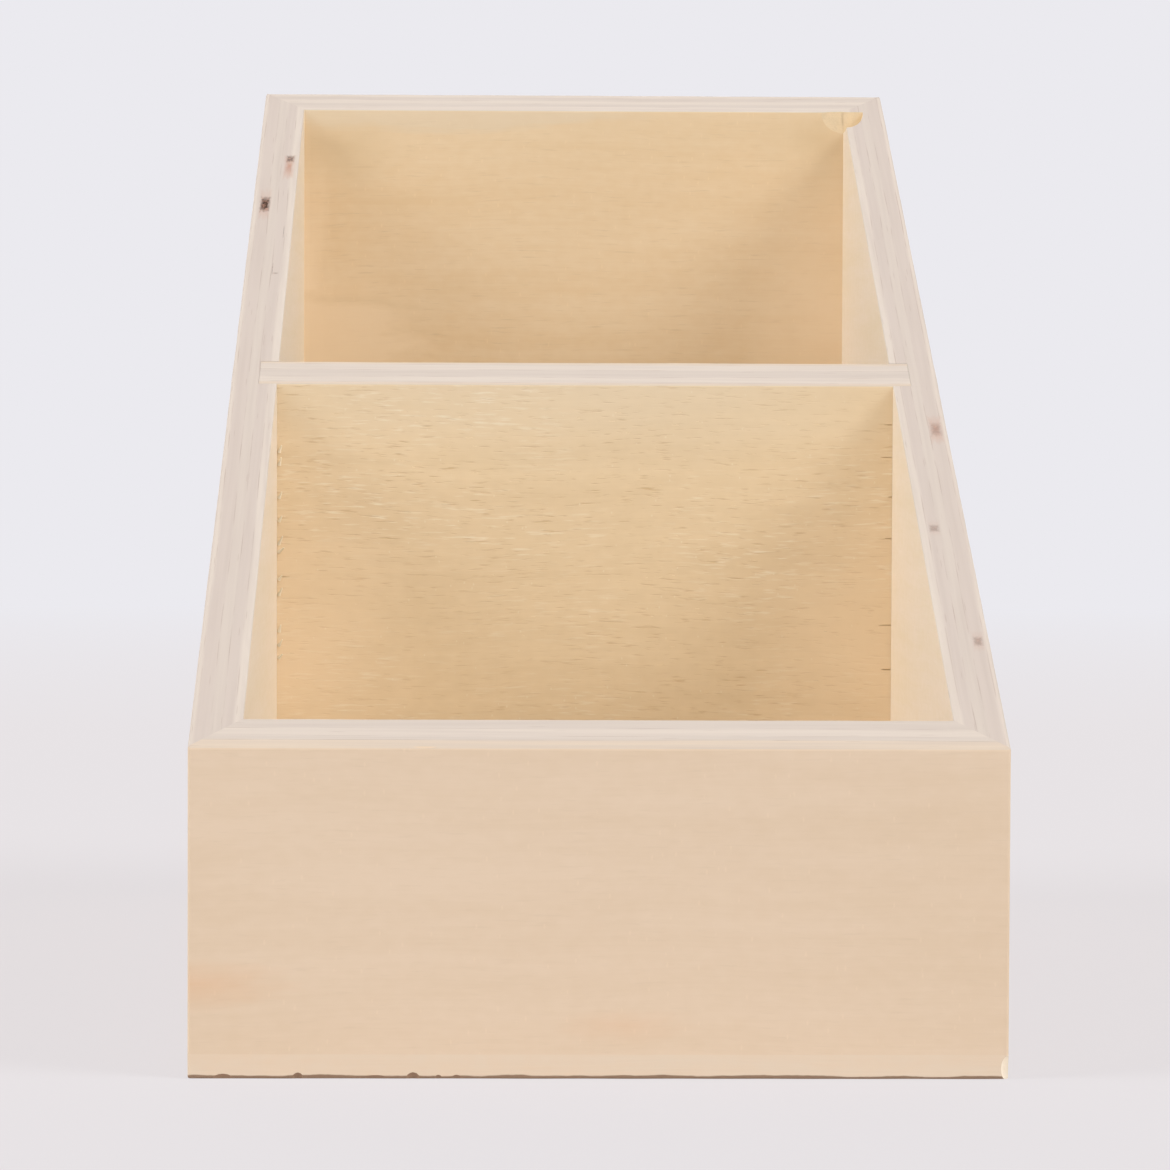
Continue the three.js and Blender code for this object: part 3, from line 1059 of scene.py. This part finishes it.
class STORAGEBOX_OT_stage(bpy.types.Operator):
    """Makes the floor, the lights and the camera"""

    bl_idname = "storage_box.stage"
    bl_label = "Stage"

    def execute(self, context):
        scene = context.scene
        settings = scene.storage_box_stage
        mesh = bmesh.new()
        bmesh.ops.create_circle(mesh, cap_ends=True, segments=64, radius=FLOOR_RADIUS)
        floor = place_piece(mesh, "floor", [self.floor_material(settings)])
        self.light_room(scene, settings)
        for name, (direction, spread) in LAMPS.items():
            self.add_lamp(scene, name, direction, getattr(settings, name), spread)
        self.add_camera(scene, settings)
        scene.view_settings.view_transform = "Standard"
        return {"FINISHED"}

    def add_camera(self, scene, settings):
        """A long lens a little over the rim, turned, tilted and rolled as the settings say."""
        camera = bpy.data.cameras.new("camera")
        camera.lens = settings.lens
        camera.sensor_width = SENSOR_WIDTH
        camera.clip_start, camera.clip_end = SIGHT
        holder = bpy.data.objects.new("camera", camera)
        look = Matrix.Rotation(-settings.yaw, 4, "Z") @ Matrix.Rotation(math.pi / 2 - settings.pitch, 4, "X")
        holder.matrix_world = Matrix.Translation(settings.eye) @ look @ Matrix.Rotation(settings.roll, 4, "Z")
        scene.collection.objects.link(holder)
        scene.camera = holder

    def add_lamp(self, scene, name, direction, energy, spread):
        """A large soft lamp far off in a direction, as wide as its spread in degrees."""
        lamp = bpy.data.lights.new(name, "SUN")
        lamp.energy = energy
        lamp.angle = math.radians(spread)
        holder = bpy.data.objects.new(name, lamp)
        holder.rotation_euler = Vector(direction).to_track_quat("Z", "Y").to_euler()
        scene.collection.objects.link(holder)

    def floor_material(self, settings):
        """Matt white painted board: even, with no gloss. The camera sees it nearly as pale as the backdrop,
        with a share of its shading."""
        material, tree, shader = start_material("matt_white_board")
        shader.inputs["Base Color"].default_value = settings.floor
        shader.inputs["Roughness"].default_value = 0.9
        place = add(tree, "TexCoord").outputs["Object"]
        away = add(tree, "VectorMath", {0: place}, operation="LENGTH").outputs["Value"]
        far = add(tree, "MapRange", {0: away, 1: FLOOR_NEAR, 2: FLOOR_FAR}).outputs["Result"]
        tones = {FACTOR: far, FIRST: settings.near, SECOND: settings.backdrop}
        pale = add(tree, "Mix", tones, data_type="RGBA").outputs[MIXED]
        even = add(tree, "MapRange", {0: far, 3: 1 - settings.shadow, 4: 1.0}).outputs["Result"]
        share = add(tree, "Math", {0: seen_directly(tree), 1: even}, operation="MULTIPLY").outputs["Value"]
        glow = add(tree, "Emission", {"Color": pale, "Strength": 1.0}).outputs["Emission"]
        mixed = add(tree, "MixShader", {0: share, 1: shader.outputs["BSDF"], 2: glow}).outputs["Shader"]
        tree.links.new(mixed, tree.nodes["Material Output"].inputs["Surface"])
        return material

    def light_room(self, scene, settings):
        """Even white light from all round, seen by the camera as a pale backdrop."""
        world = bpy.data.worlds.new("room")
        scene.world = world
        world.use_nodes = True
        tree = world.node_tree
        tree.nodes.clear()
        white = {"Color": (1, 1, 1, 1), "Strength": settings.sky}
        light = add(tree, "Background", white).outputs["Background"]
        wall = add(tree, "Background", {"Color": settings.backdrop, "Strength": 1.0}).outputs["Background"]
        mixed = add(tree, "MixShader", {0: seen_directly(tree), 1: light, 2: wall}).outputs["Shader"]
        add(tree, "OutputWorld", {"Surface": mixed})


class STORAGEBOX_PT_sidebar(bpy.types.Panel):
    """Lists the steps that dress the box"""

    bl_label = "Storage box"
    bl_idname = "STORAGEBOX_PT_sidebar"
    bl_space_type = "VIEW_3D"
    bl_region_type = "UI"
    bl_category = "Storage box"

    def draw(self, context):
        for step in STEPS:
            self.layout.operator(step.bl_idname)


STEPS = (STORAGEBOX_OT_walls, STORAGEBOX_OT_base, STORAGEBOX_OT_divider, STORAGEBOX_OT_stage)
GROUPS = (BoxSizes, WoodColours, StageSettings)


def register():
    for kind in (*GROUPS, *STEPS, STORAGEBOX_PT_sidebar):
        bpy.utils.register_class(kind)
    bpy.types.Scene.storage_box_sizes = PointerProperty(type=BoxSizes)
    bpy.types.Scene.storage_box_colours = PointerProperty(type=WoodColours)
    bpy.types.Scene.storage_box_stage = PointerProperty(type=StageSettings)


def unregister():
    del bpy.types.Scene.storage_box_stage
    del bpy.types.Scene.storage_box_colours
    del bpy.types.Scene.storage_box_sizes
    for kind in reversed((*GROUPS, *STEPS, STORAGEBOX_PT_sidebar)):
        bpy.utils.unregister_class(kind)


def main():
    register()
    bpy.ops.storage_box.walls()
    bpy.ops.storage_box.base()
    bpy.ops.storage_box.divider()
    bpy.ops.storage_box.stage()


if __name__ == "__main__":
    main()
